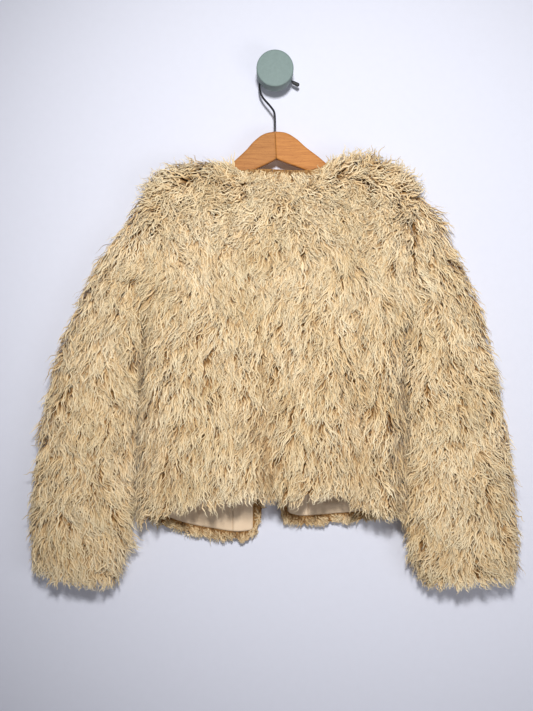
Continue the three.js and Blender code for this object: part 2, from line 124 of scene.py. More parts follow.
# Creases of the linings: soft lines from one end to the other, with their width and rise
CREASES = {
    "left": [
        dict(start=(-98, -617), end=(-57, -621), width=5, out=-3.2),
        dict(start=(-112, -640), end=(-84, -603), width=6, out=1.8),
        dict(start=(-84, -648), end=(-66, -626), width=4, out=1.5),
        dict(start=(-140, -600), end=(-128, -460), width=13, out=2.5),
        dict(start=(-92, -590), end=(-86, -440), width=10, out=-2.2),
        dict(start=(-72, -560), end=(-78, -430), width=8, out=1.8),
    ],
    "right": [
        dict(start=(56, -618), end=(92, -614), width=5, out=2.2),
        dict(start=(62, -628), end=(74, -600), width=5, out=-1.8),
        dict(start=(104, -618), end=(112, -470), width=12, out=2.4),
        dict(start=(78, -600), end=(86, -430), width=10, out=-2.2),
        dict(start=(146, -600), end=(140, -450), width=9, out=-1.8),
    ],
}

# Hanger, hook and knob
HANGER_TOP_Z = -85.5
HANGER_Y = -30.0
HANGER_THICK = 12.0
HANGER_TILT = math.radians(3)
JOINT_GAP = 0.3
HANGER_TOP = {
    "x": [0, 11, 17, 30, 42, 58, 76, 95, 120, 140, 147],
    "z": [0, -1.4, -3.3, -12, -24, -37.5, -53.5, -64, -72.5, -77.5, -82],
}
HANGER_LOW = {
    "x": [0, 4, 33, 58, 76, 95, 120, 140, 147],
    "z": [-38.4, -40.8, -53.5, -64.5, -73.5, -81.5, -88, -92.5, -89],
}
HANGER_STRAIGHT = 136.0  # length of a half before its end is rounded
HANGER_ROUND = 11.0  # length of that rounding
HANGER_END = 147.6  # where its thickness would reach nothing
HANGER_SQUARE = 0.30  # how square the wood's section is: 1 is round, near 0 is square
WIRE_RADIUS = 1.6
HOOK_LINE = {
    "x": [0, 0, -1, -5, -17, -20.8, -22, -20.5, -12.5, 0, 12, 19, 22, 25.4],
    "y": [-30, -29.9, -28, -26.9, -24, -22.8, -19.6, -17.4, -16.4, -16, -16, -16.4, -17, -17.5],
    "z": [-93, -84, -57, -50, -35, -26.6, -12, -1, 8.2, 11, 8, 0.6, -6.5, -11],
}
TIP_DIRECTION = (9, -0.6, -4.7)
TIP_PROFILE = {
    "along": [-1.2, -1.1, 0, 7.5, 8.6, 9.3, 9.7],
    "radius": [1.8, 2.3, 2.5, 2.9, 2.6, 1.7, 0.3],
}
KNOB_PROFILE = {
    "depth": [0.2, 21.9, 22.0, 22.3, 23.2, 24.4, 45.6, 46.8, 47.6, 47.9, 48.0],
    "radius": [9.1, 9.1, 24.2, 25.3, 25.9, 26.0, 26.0, 25.8, 25.1, 23.8, 0.4],
}

# Locks of the pile
NAPE_X = 4.0  # middle of the nape
TURNED_HEIGHT = 3.0  # of the pile that is turned over the fronts' edges
EDGE_SHADE = (0.50, 0.365, 0.235)  # painted shade on a lock's edges, so that a flat lock looks round, as a share of its middle's colour
STRAY = 0.2  # share of locks that stand out of their clump
LOCK_LENGTH = 45.0
LENGTH_OF_CLUMP = (0.85, 1.15)  # shares between which length differs from clump to clump
LENGTH_IN_CLUMP = (0.7, 1.15)  # and from lock to lock
LOCK_RADIUS = 1.35
RADIUS_IN_CLUMP = (0.7, 1.25)
LOCK_STEPS = 10
LEAVE_ANGLE = 0.62  # in radians from the cloth's normal, where a lock leaves the cloth
LEAVE_LIMITS = (0.15, 1.3)
LIE_ANGLE = 1.68  # the same at its tip; beyond a right angle it dips back into the pile
LIE_LIMITS = (1.2, 2.0)
STRAY_RISE = (0.25, 0.9)  # how much less a stray lock lies over
WAVE_TURNS = (0.7, 1.3)  # waves along a lock, and how far they swing
WAVE_SWING = (1.2, 3.0)
KINK_TURNS = (2.2, 3.4)  # finer kinks on top of them
KINK_SWING = (0.8, 2.0)
CLUMP_PULL = (0.35, 0.85)  # how far the tips of a clump are drawn together, as a share
PILE_HEIGHT = 10.0
TOP_HEIGHT = 1.6  # share of that height which no lock passes
STRAY_TOP_HEIGHT = 2.6
CLUMP_AREA = 150.0  # square millimetres to a clump
PILE_COUNT = {"back": 9700, "front": 3500, "sleeve": 9100, "hem": 420, "edge": 160}

# Where the pile is pressed together: axis, where that starts, and what no lock passes
PRESSED = [
    (1, -3.5, -0.8),  # by the wall
    (1, -88, -96),  # towards the room
    (2, -715, -741),  # below the cuffs
    (0, 345, 365),
    (0, -345, -365),
]

# Lights and room, in metres and watts
LAMP = dict(at=(0.0, -1.45, 0.06), toward=(0.11, 0, -0.28), power=99, colour=(1.0, 0.985, 0.96))
LAMP_RADIUS = 0.08
LAMP_ANGLE = math.radians(76)
WINDOW = dict(at=(0.7, -1.3, -0.75), toward=(0, 0, -0.55), power=4, colour=(1.0, 0.985, 0.96))
WINDOW_SIZE = (0.8, 0.5)
BEHIND = dict(at=(0.2, 1.6, 0.4), toward=(0, 0, -0.4), power=16, colour=(0.97, 0.98, 1.0))
BEHIND_SIZE = (1.6, 1.6)
ROOM_LIGHT = (0.97, 0.97, 1.0)
ROOM_STRENGTH = 0.13
WALL_COLOUR = (0.66, 0.68, 0.785)
FLOOR_COLOUR = (0.78, 0.78, 0.80)


def mix(a, b, t):
    return a + (b - a) * t


def ease(t):
    c = np.clip(t, 0, 1)
    return c * c * (3 - 2 * c)


def unit(v):
    return v / np.maximum(np.linalg.norm(v, axis=-1, keepdims=True), 1e-9)


def along(keys, values, at):
    """A smooth line through a table's rows, without overshoot."""
    keys = np.asarray(keys, float)
    values = np.asarray(values, float)
    at = np.clip(np.asarray(at, float), keys[0], keys[-1])
    slopes = np.diff(values) / np.diff(keys)
    before, after = slopes[:-1], slopes[1:]
    same = before * after > 0
    inner = np.where(same, 2 * before * after / np.where(same, before + after, 1), 0)
    tangents = np.concatenate([slopes[:1], inner, slopes[-1:]])
    i = np.clip(np.searchsorted(keys, at) - 1, 0, len(keys) - 2)
    span = keys[i + 1] - keys[i]
    t = (at - keys[i]) / span
    return (
        (2 * t**3 - 3 * t**2 + 1) * values[i]
        + (t**3 - 2 * t**2 + t) * span * tangents[i]
        + (3 * t**2 - 2 * t**3) * values[i + 1]
        + (t**3 - t**2) * span * tangents[i + 1]
    )


# Form of the coat, as in the solids


def side_x(side, w):
    s = SIDES[side]
    upper = mix(s["tip"][0], s["under_x"], w / SHARE_UNDERARM)
    lower = mix(s["under_x"], s["hem"][0], (w - SHARE_UNDERARM) / (1 - SHARE_UNDERARM))
    return np.where(w < SHARE_UNDERARM, upper, lower)


def seam_y(w):
    return mix(SEAM_Y_TOP, SEAM_Y_HEM, np.clip((w - SHARE_UNDERARM) * 2, 0, 1))


def neck_open(x):
    return ease((x - NECK["left"]) / 20) * ease((NECK["right"] - x) / 20)


def near_neck(x):
    return ease((x - NECK["left"] + 30) / 25) * ease((NECK["right"] + 30 - x) / 25)


def wall_thickness(x, below):
    wall = mix(SHOULDER_WALL, FUR_WALL, ease((below - 40) / 60))
    return wall - (wall - EDGE_WALL) * near_neck(x) * (1 - ease(below / 28))


def panel_rows(height, fine):
    """Shares of a panel's height: close together over the shoulder and towards the hem."""
    shoulder = SHOULDER_ROUND * (1 - np.cos(np.linspace(0, math.pi / 2, 5 * fine))) / height
    upper = np.linspace(shoulder[-1], SHARE_UNDERARM, 8 * fine)[1:]
    last = 1 - LINING_EDGE / height
    lower = np.linspace(SHARE_UNDERARM, last, 10 * fine)[1:]
    return np.concatenate([shoulder, upper, lower, np.linspace(last, 1, 1 + fine)[1:]])


def fold_out(x, z):
    total = 0
    for fold in BACK_FOLDS:
        across = (x - fold["x"]) / fold["width"]
        total = total + fold["out"] * np.exp(-(across**2)) * ease((fold["top"] - z) / FOLD_REACH)
    return total


def round_across(s):
    return np.sqrt(np.maximum(0, 1 - np.abs(s) ** 5))


def round_down(below):
    return np.sqrt(np.maximum(0, 1 - (1 - np.clip(below / SHOULDER_ROUND, 0, 1)) ** 2))


def panel_depth(s, w, below, x, full):
    turn = np.arccos(np.clip(1 - 2 * w / SHARE_UNDERARM, -1, 1))
    edge = np.sin(turn) * ARMHOLE_HALF_DEPTH
    closing = mix(round_down(below), mix(0.8, 1, ease(below / 40)), neck_open(x))
    return edge + (full * closing - edge) * round_across(s)


def grid_normals(points, facing):
    across = np.gradient(points, axis=1)
    down = np.gradient(points, axis=0)
    normal = unit(np.cross(across, down))
    turned = np.sum(normal * facing, axis=-1, keepdims=True) < 0
    return np.where(turned, -normal, normal)


def back_grid(fine=2):
    left, right = SIDES["left"], SIDES["right"]
    w = panel_rows(left["tip"][1] - left["hem"][1], fine)[:, None]
    s = np.linspace(-1, 1, 34 * fine + 1)
    s = mix(s, np.sin(s * math.pi / 2), 0.55)[None, :]
    share = (s + 1) / 2
    top_z = along(TOP_LINE["x"], TOP_LINE["z"], mix(left["tip"][0], right["tip"][0], share))
    hem_z = along(HEM_LINE["x"], HEM_LINE["z"], mix(left["hem"][0], right["hem"][0], share))
    x = mix(side_x("left", w) + SEAM_GAP / 2, side_x("right", w) - SEAM_GAP / 2, share)
    z = mix(top_z, hem_z, w)
    full = along(BACK_DEPTH["share"], BACK_DEPTH["depth"], w)
    depth = panel_depth(s, w, top_z - z, x, full)
    fold = fold_out(x, z) * round_across(s) ** 2
    y = seam_y(w) - SEAM_GAP / 2 - depth - fold
    points = np.stack(np.broadcast_arrays(x, y, z), axis=-1)
    wall = wall_thickness(x, top_z - z)
    return points, grid_normals(points, np.array([0, -1, 0])), wall


def shoulder_height(x):
    out = np.where(x < NECK["middle"], np.minimum(x, NECK["left"]), np.maximum(x, NECK["right"]))
    return along(TOP_LINE["x"], TOP_LINE["z"], out)


def front_surface(side, w, u):
    """Outer side of a front at shares w of its height and u of its width from the side seam."""
    sides = SIDES[side]
    sign = sides["sign"]
    top_x = mix(sides["tip"][0], sides["edge_x"][0], u)
    hem_x = mix(sides["hem"][0], sides["edge_x"][1], u)
    q = np.clip((top_x - sides["edge_x"][0]) / (NECK[side] - sides["edge_x"][0]), 0, 1)
    shoulder = shoulder_height(top_x)
    top_z = shoulder - NECK["drop"] * (1 - q * q) ** 0.75
    hem_z = along(FRONT_HEM[side]["x"], FRONT_HEM[side]["z"], hem_x)
    start = side_x(side, w) - sign * SEAM_GAP / 2
    x = mix(start, mix(sides["edge_x"][0], sides["edge_x"][1], w), u)
    z = mix(top_z, hem_z, w)
    full = FRONT_FACE_Y - seam_y(w) - SEAM_GAP / 2
    depth = panel_depth((1 - u) * sign, w, shoulder - z, x, full)
    y = seam_y(w) + SEAM_GAP / 2 + depth
    points = np.stack(np.broadcast_arrays(x, y, z), axis=-1)
    wall = wall_thickness(x, top_z - z)
    return points, grid_normals(points, np.array([0, 1, 0])), wall


def front_shares(side):
    """Where the facing's seam and its edge lie, as shares of a front's width."""
    width = abs(SIDES[side]["hem"][0] - SIDES[side]["edge_x"][1])
    edge = 1 - FACING_EDGE / width
    return edge - FACING_WIDTH / width, edge


def lining_end(side):
    """Share of a front's height at which its lining ends."""
    return 1 - LINING_EDGE / (SIDES[side]["tip"][1] - SIDES[side]["hem"][1])


def front_grid(side, fine=2):
    w = panel_rows(SIDES[side]["tip"][1] - SIDES[side]["hem"][1], fine)[:, None]
    seam, edge = front_shares(side)
    u = np.concatenate([
        seam * (np.arange(11 * fine) / (11 * fine)) ** 1.35,
        np.linspace(seam, edge, 3 * fine + 1),
        np.linspace(edge, 1, fine + 1)[1:],
    ])[None, :]
    bare = (w[:-1] > lining_end(side) - 1e-6) | (u[:, :-1] > edge - 1e-6)
    return *front_surface(side, w, u), bare.astype(int)


def sleeve_grid(side, around=48, length=60):
    table = SLEEVES[side]
    rows = np.arange(len(table["outer_x"]))
    at = np.linspace(0, rows[-1], length)
    value = {name: along(rows, column, at)[:, None] for name, column in table.items()}
    turn = np.linspace(0, 2 * math.pi, around + 1)[None, :]
    middle_x = (value["outer_x"] + value["inner_x"]) / 2
    middle_z = (value["outer_z"] + value["inner_z"]) / 2
    arm_x = (value["outer_x"] - value["inner_x"]) / 2
    arm_z = (value["outer_z"] - value["inner_z"]) / 2
    full = 1 + SLEEVE_SWELL * np.sin(at * 4.2)[:, None] * ease(at)[:, None]
    x = middle_x + arm_x * np.cos(turn) + SIDES[side]["sign"] * SEAM_GAP / 2
    z = middle_z + arm_z * np.cos(turn)
    y = value["mid_y"] + np.sin(turn) * value["half_depth"] * full
    points = np.stack([x, y + 0 * x, z], axis=-1)
    middle = np.stack([middle_x + 0 * x, value["mid_y"] + 0 * x, middle_z + 0 * x], axis=-1)
    normals = grid_normals(points, points - middle)
    normals[:, 0] = normals[:, -1] = unit(normals[:, 0] + normals[:, -1])
    axis = unit(np.gradient(middle, axis=0))
    return points, normals, np.full(x.shape, FUR_WALL), axis


# Meshes


def object_from(name, points, faces, material_of_face, materials, smooth=True):
    """A mesh object from points in millimetres and faces of three or four corners."""
    mesh = bpy.data.meshes.new(name)
    sizes = np.array([len(group[0]) for group in faces for _ in range(len(group))])
    corners = np.concatenate([np.asarray(group).ravel() for group in faces])
    mesh.vertices.add(len(points))
    mesh.vertices.foreach_set("co", (np.asarray(points) * MM).astype(np.float32).ravel())
    mesh.loops.add(len(corners))
    mesh.loops.foreach_set("vertex_index", corners.astype(np.int32))
    mesh.polygons.add(len(sizes))
    starts = np.concatenate([[0], np.cumsum(sizes)[:-1]])
    mesh.polygons.foreach_set("loop_start", starts.astype(np.int32))
    mesh.polygons.foreach_set("material_index", np.asarray(material_of_face, np.int32))
    mesh.polygons.foreach_set("use_smooth", np.full(len(sizes), smooth))
    for material in materials:
        mesh.materials.append(material)
    mesh.update(calc_edges=True)
    obj = bpy.data.objects.new(name, mesh)
    bpy.context.scene.collection.objects.link(obj)
    return obj


def grid_quads(rows, columns, offset=0, flip=False):
    r, c = np.meshgrid(np.arange(rows - 1), np.arange(columns - 1), indexing="ij")
    a = (r * columns + c).ravel() + offset
    quads = np.stack([a, a + 1, a + columns + 1, a + columns], axis=-1)
    return quads[:, ::-1] if flip else quads


def shell(name, outer, inner, materials, closed_round=False, flip=False, bare=None):
    """A thin closed wall: first material outside, on its edges and where bare, second inside."""
    rows, columns = outer.shape[:2]
    points = np.concatenate([outer.reshape(-1, 3), inner.reshape(-1, 3)])
    far = rows * columns
    outside = grid_quads(rows, columns, 0, flip)
    inside = grid_quads(rows, columns, far, not flip)
    index = np.arange(far).reshape(rows, columns)
    rims = [index[0], index[-1][::-1]]
    if not closed_round:
        rims += [index[:, 0][::-1], index[:, -1]]
    edges = []
    for rim in rims:
        quad = np.stack([rim[:-1], rim[:-1] + far, rim[1:] + far, rim[1:]], axis=-1)
        edges.append(quad[:, ::-1] if flip else quad)
    faces = np.concatenate([outside, inside, *edges])
    slots = np.zeros(len(faces), int)
    slots[len(outside):len(outside) + len(inside)] = 1 if bare is None else 1 - bare.ravel()
    if closed_round:
        seam = index[:, -1]
        merge = np.arange(len(points))
        merge[seam] = index[:, 0]
        merge[seam + far] = index[:, 0] + far
        faces = merge[faces]
    return object_from(name, points, [faces], slots, materials)


def ring_solid(name, rings, material):
    """A closed form through rings of points, with flat ends."""
    count, around = rings.shape[:2]
    looped = np.concatenate([rings, rings[:, :1]], axis=1)
    quads = grid_quads(count, around + 1)
    merge = np.arange(count * (around + 1)).reshape(count, around + 1)
    index = np.arange(count * around).reshape(count, around)
    merge[:, :-1] = index
    merge[:, -1] = index[:, 0]
    quads = merge.ravel()[quads]
    first, last = index[0][::-1][None], index[-1][None]
    slots = np.zeros(len(quads) + 2)
    return object_from(name, looped[:, :-1].reshape(-1, 3), [quads, first, last], slots, [material])


def smooth_curve(points, steps):
    """A centripetal curve through the points, as in the solids."""
    points = np.asarray(points, float)
    ends = [2 * points[0] - points[1], *points, 2 * points[-1] - points[-2]]
    t = np.linspace(0, 1, steps, endpoint=False)[:, None]
    line = []
    for a, b, c, d in zip(ends, ends[1:], ends[2:], ends[3:]):
        before, here, after = (math.sqrt(np.linalg.norm(v)) for v in (b - a, c - b, d - c))
        leave = ((b - a) / before - (c - a) / (before + here) + (c - b) / here) * here
        arrive = ((c - b) / here - (d - b) / (here + after) + (d - c) / after) * here
        square = -3 * b + 3 * c - 2 * leave - arrive
        cube = 2 * b - 2 * c + leave + arrive
        line.append(b + leave * t + (square * t**2 + cube * t**3))
    return np.concatenate([*line, points[-1:]])


def tube_rings(line, radii, around):
    """Rings round a line that keeps near a plane of equal Y."""
    ahead = unit(np.gradient(line, axis=0))
    side = unit(np.cross(ahead, np.array([0.0, 1.0, 0.0])))
    other = np.cross(side, ahead)
    turn = np.arange(around) * 2 * math.pi / around
    circle = side[:, None] * np.cos(turn)[:, None] + other[:, None] * np.sin(turn)[:, None]
    return line[:, None] + circle * np.asarray(radii).reshape(-1, 1, 1)


# Pile


def pick_on_grid(points, fields, count, rng, weight=None):
    """Points spread evenly over a grid's surface, with the fields' values there."""
    a = points[1:, :-1] - points[:-1, :-1]
    b = points[:-1, 1:] - points[:-1, :-1]
    areas = np.linalg.norm(np.cross(a, b), axis=-1)
    square_mm = float(areas.sum())
    if weight is not None:
        areas = areas * weight[:-1, :-1]
    total = np.cumsum(areas.ravel())
    picks = (np.arange(count) + rng.random(count)) / count * total[-1]
    cell = np.minimum(np.searchsorted(total, picks), areas.size - 1)
    r, c = np.divmod(cell, areas.shape[1])
    fr = rng.random((count, 1))
    fc = rng.random((count, 1))

    def read(field):
        upper = mix(field[r, c], field[r, c + 1], fc)
        lower = mix(field[r + 1, c], field[r + 1, c + 1], fc)
        return mix(upper, lower, fr)

    return read(points), [read(f) for f in fields], square_mm


def rotate_about(v, axis, angle):
    cos, sin = np.cos(angle)[:, None], np.sin(angle)[:, None]
    along_axis = np.sum(axis * v, -1, keepdims=True)
    return v * cos + np.cross(axis, v) * sin + axis * along_axis * (1 - cos)


def squeezed(value, start, stop):
    """Values beyond start are pressed together, so that none passes stop."""
    room = stop - start
    over = (value - start) / room
    return np.where(over > 0, start + room * np.tanh(np.maximum(over, 0)), value)


def kept_in_room(path):
    """The pile is pressed flat by the wall, and no lock reaches far beyond the others."""
    for axis, start, stop in PRESSED:
        path[..., axis] = squeezed(path[..., axis], start, stop)
    return path


def nearest(points, centres):
    found = np.empty(len(points), int)
    for i in range(0, len(points), 2000):
        gap = points[i:i + 2000, None] - centres[None]
        found[i:i + 2000] = np.argmin((gap**2).sum(-1), axis=1)
    return found


def swirl(points):
    """A slowly changing turn of the pile's direction, in radians."""
    x, y, z = points.T
    return (
        0.26 * np.sin(x / 31 + 1.3 * np.sin(z / 43) + y / 29)
        + 0.22 * np.sin(z / 27 - 1.7 * np.sin(x / 37) + y / 17 + 1.9)
        + 0.16 * np.sin((x + z) / 13 + 0.7)
    )


def bend_path(length, start, end, top, normal, lean, wave, kink):
    """Displacements of a lock that leaves the cloth at angle start and lies over to angle end."""
    t = np.linspace(0, 1, LOCK_STEPS + 1)
    angle = start[:, None] + (end - start)[:, None] * ease(t * 1.25)[None, :]
    step = length[:, None] / LOCK_STEPS
    middle = (angle[:, 1:] + angle[:, :-1]) / 2
    none = np.zeros((len(length), 1))
    up = np.concatenate([none, np.cumsum(np.cos(middle) * step, 1)], 1)
    up = squeezed(up, PILE_HEIGHT * 0.75, PILE_HEIGHT * top[:, None])
    over = np.concatenate([none, np.cumsum(np.sin(middle) * step, 1)], 1)
    side = np.cross(normal, lean)
    sway, rise = 0, 0
    for phase, turns, swing in (wave, kink):
        curl = phase[:, None] + turns[:, None] * t * 2 * math.pi
        grown = swing[:, None] * ease(t * 1.8)
        sway = sway + grown * np.sin(curl)
        rise = rise + 0.5 * grown * np.cos(curl)
    return (
        normal[:, None] * (up + rise)[..., None]
        + lean[:, None] * over[..., None]
        + side[:, None] * sway[..., None]
    )


class Draws:
    """Random values, one for each lock or one for each clump and so the same for all its locks."""

    def __init__(self, rng, own, clumps):
        self.rng = rng
        self.own = own
        self.clumps = clumps

    def lock_normal(self, spread):
        return self.rng.normal(0, spread, len(self.own))

    def lock_between(self, low, high):
        return self.rng.uniform(low, high, len(self.own))

    def clump_normal(self, spread):
        return self.rng.normal(0, spread, self.clumps)[self.own]

    def clump_between(self, low, high):
        return self.rng.uniform(low, high, self.clumps)[self.own]


def lock_directions(roots, normal, lean, mess, draw):
    """The way in which each lock lies, along the cloth, turned by swirls, clumps and chance."""
    lean = unit(lean - normal * np.sum(normal * lean, -1, keepdims=True))
    turn = swirl(roots) * (0.6 + mess) + draw.clump_normal(1) * (0.17 + 0.55 * mess)
    return rotate_about(lean, normal, turn + draw.lock_normal(1) * (0.15 + 0.25 * mess))


def lock_paths(normal, lean, height, mess, cut, stray, draw):
    """Displacements along each lock, which waves widely and kinks finely on its way."""
    lift = draw.clump_normal(0.16) - 0.08 * mess
    length = LOCK_LENGTH * draw.clump_between(*LENGTH_OF_CLUMP)
    length = length * draw.lock_between(*LENGTH_IN_CLUMP)
    length = length * (1 - 0.15 * mess) * cut
    start = np.clip(LEAVE_ANGLE + lift + draw.lock_normal(0.2), *LEAVE_LIMITS)
    end = np.clip(LIE_ANGLE + lift + draw.lock_normal(0.14), *LIE_LIMITS)
    end = end - np.where(stray, draw.lock_between(*STRAY_RISE), 0)
    reach = np.clip(height / PILE_HEIGHT, 0.45, 1.1)
    wave = (
        draw.clump_between(0, 2 * math.pi) + draw.lock_normal(0.5),
        draw.clump_between(*WAVE_TURNS),
        draw.lock_between(*WAVE_SWING),
    )
    kink = (
        draw.clump_between(0, 2 * math.pi) + draw.lock_normal(0.8),
        draw.clump_between(*KINK_TURNS) * draw.lock_between(0.9, 1.1),
        draw.lock_between(*KINK_SWING) * (1 + 0.5 * mess),
    )
    top = np.where(stray, STRAY_TOP_HEIGHT, TOP_HEIGHT)
    length = length * mix(0.6, 1, reach)
    return bend_path(length, start, end, top, normal * reach[:, None], lean, wave, kink)


def gathered_roots(roots, middle, stray, draw):
    """Where each lock would be at its steps if it had no length: drawn to its clump's middle."""
    steps = np.linspace(0, 1, LOCK_STEPS + 1)
    pull = np.where(stray, 0.0, draw.clump_between(*CLUMP_PULL))
    gather = 1 - pull[:, None] * steps[None, :] ** 1.1
    return middle[:, None] + (roots - middle)[:, None] * gather[..., None]


def lock_radii(stray, draw):
    steps = np.linspace(0, 1, LOCK_STEPS + 1)[:-1]
    thick = LOCK_RADIUS * draw.lock_between(*RADIUS_IN_CLUMP) * np.where(stray, 0.7, 1)
    taper = (1 - steps) ** 0.6 * (0.75 + 0.5 * np.sin(steps * math.pi))
    return thick[:, None] * taper[None, :]


def pile(name, grid, lean, count, seed, material, weight=None, mess=0.0, trim=1.0, shade=1.0):
    """Locks of fur over a grid: rooted on the backing, gathered in clumps, each one tapered."""
    points, normals, wall = grid
    height = (wall - BACKING)[..., None]
    roots_at = points - normals * height
    own_fields = [np.broadcast_to(value, wall.shape)[..., None] for value in (mess, trim, shade)]
    fields = [normals, height, lean, *own_fields]
    rng = np.random.default_rng(seed)
    roots, values, area = pick_on_grid(roots_at, fields, count, rng, weight)
    normal, height, lean, mess, cut, shade = values
    normal = unit(normal)
    clumps = int(area / CLUMP_AREA)
    centre = pick_on_grid(roots_at, [], clumps, rng)[0]
    own = nearest(roots, centre)
    draw = Draws(rng, own, clumps)
    lean = lock_directions(roots, normal, lean, mess[:, 0], draw)
    stray = draw.lock_between(0, 1) < STRAY
    path = lock_paths(normal, lean, height[:, 0], mess[:, 0], cut[:, 0], stray, draw)
    path = kept_in_room(gathered_roots(roots, centre[own], stray, draw) + path)
    radii = lock_radii(stray, draw)
    tone = draw.clump_between(0, 1) * 0.3 + draw.lock_between(0, 1) * 0.7
    roll = draw.lock_normal(0.45)
    across = np.cross(normal, lean)
    # Each lock's random tone is darkened by painted shade, where the shade field is below one
    return locks_mesh(name, path, radii, across, roll, tone * shade[:, 0], material)


def add_map(obj, name, values):
    """A UV map from one pair of values for each vertex."""
    corner = np.empty(len(obj.data.loops), np.int32)
    obj.data.loops.foreach_get("vertex_index", corner)
    layer = obj.data.uv_layers.new(name=name)
    layer.data.foreach_set("uv", values[corner].astype(np.float32).ravel())


def locks_mesh(name, path, radius, across, roll, tone, material):
    """Tapered ribbons along the paths, joined in one mesh. One map holds each lock's tone, with the
    painted shade in it, and the share of its length, the other the share of its breadth."""
    count, rings = radius.shape
    ahead = unit(np.gradient(path, axis=1))
    side = across[:, None] - ahead * np.sum(across[:, None] * ahead, -1, keepdims=True)
    side = unit(side)
    cos, sin = np.cos(roll)[:, None, None], np.sin(roll)[:, None, None]
    turned = side * cos + np.cross(ahead, side) * sin
    push = turned[:, :-1] * radius[..., None]
    body = np.stack([path[:, :-1] - push, path[:, :-1] + push], axis=2)
    points = np.concatenate([body.reshape(count, rings * 2, 3), path[:, -1:]], axis=1)
    each = rings * 2 + 1
    quads = [[2 * r, 2 * r + 1, 2 * r + 3, 2 * r + 2] for r in range(rings - 1)]
    tip = [each - 3, each - 2, each - 1]
    offsets = np.arange(count) * each
    quads = (np.array(quads)[None] + offsets[:, None, None]).reshape(-1, 4)
    tips = np.array(tip)[None] + offsets[:, None]
    slots = np.zeros(len(quads) + len(tips))
    obj = object_from(name, points.reshape(-1, 3), [quads, tips], slots, [material])
    far = np.append(np.repeat(np.arange(rings) / rings, 2), 1.0)
    add_map(obj, "strand", np.stack([np.repeat(tone, each), np.tile(far, count)], -1))
    breadth = np.tile(np.append(np.tile([0.0, 1.0], rings), 0.5), count)
    add_map(obj, "breadth", np.stack([breadth, np.zeros(count * each)], -1))
    return obj


# Materials


def new_material(name, rough=0.8, **sockets):
    material = bpy.data.materials.new(name)
    material.use_nodes = True
    nodes = material.node_tree.nodes
    shader = nodes["Principled BSDF"]
    shader.inputs["Roughness"].default_value = rough
    for socket, value in sockets.items():
        shader.inputs[socket.replace("_", " ")].default_value = value
    return material, nodes, material.node_tree.links, shader


def ramped(nodes, links, value, stops):
    """A colour ramp from (place, colour) pairs, with colours in linear light."""
    ramp = nodes.new("ShaderNodeValToRGB")
    links.new(value, ramp.inputs["Fac"])
    while len(ramp.color_ramp.elements) < len(stops):
        ramp.color_ramp.elements.new(0.5)
    for element, (place, colour) in zip(ramp.color_ramp.elements, stops):
        element.position = place
        element.color = (*colour, 1)
    return ramp.outputs["Color"]


def object_place(nodes):
    return nodes.new("ShaderNodeTexCoord").outputs["Object"]


def noise(nodes, links, source, scale, detail=3.0):
    node = nodes.new("ShaderNodeTexNoise")
    node.inputs["Scale"].default_value = scale
    node.inputs["Detail"].default_value = detail
    node.inputs["Roughness"].default_value = 0.55
    links.new(source, node.inputs["Vector"])
    return node.outputs["Fac"]


def stretched(nodes, links, source, scale, turn):
    mapping = nodes.new("ShaderNodeMapping")
    mapping.inputs["Scale"].default_value = scale
    mapping.inputs["Rotation"].default_value = turn
    links.new(source, mapping.inputs["Vector"])
    return mapping.outputs["Vector"]


def add_bump(nodes, links, height, shader, strength, distance):
    bump = nodes.new("ShaderNodeBump")
    bump.inputs["Strength"].default_value = strength
    bump.inputs["Distance"].default_value = distance
    links.new(height, bump.inputs["Height"])
    links.new(bump.outputs["Normal"], shader.inputs["Normal"])


def multiplied(nodes, links, first, second, factor=1.0):
    """The first colour, darkened by the second."""
    blend = nodes.new("ShaderNodeMix")
    blend.data_type = "RGBA"
    blend.blend_type = "MULTIPLY"
    for socket, value in (("Factor", factor), ("A", first), ("B", second)):
        target = [s for s in blend.inputs if s.name == socket and s.enabled][0]
        if hasattr(value, "is_output"):
            links.new(value, target)
        else:
            target.default_value = value
    return [s for s in blend.outputs if s.enabled][0]


def map_value(nodes, links, name, axis):
    """One value of a UV map."""
    uv = nodes.new("ShaderNodeUVMap")
    uv.uv_map = name
    split = nodes.new("ShaderNodeSeparateXYZ")
    links.new(uv.outputs["UV"], split.inputs["Vector"])
    return split.outputs[axis]


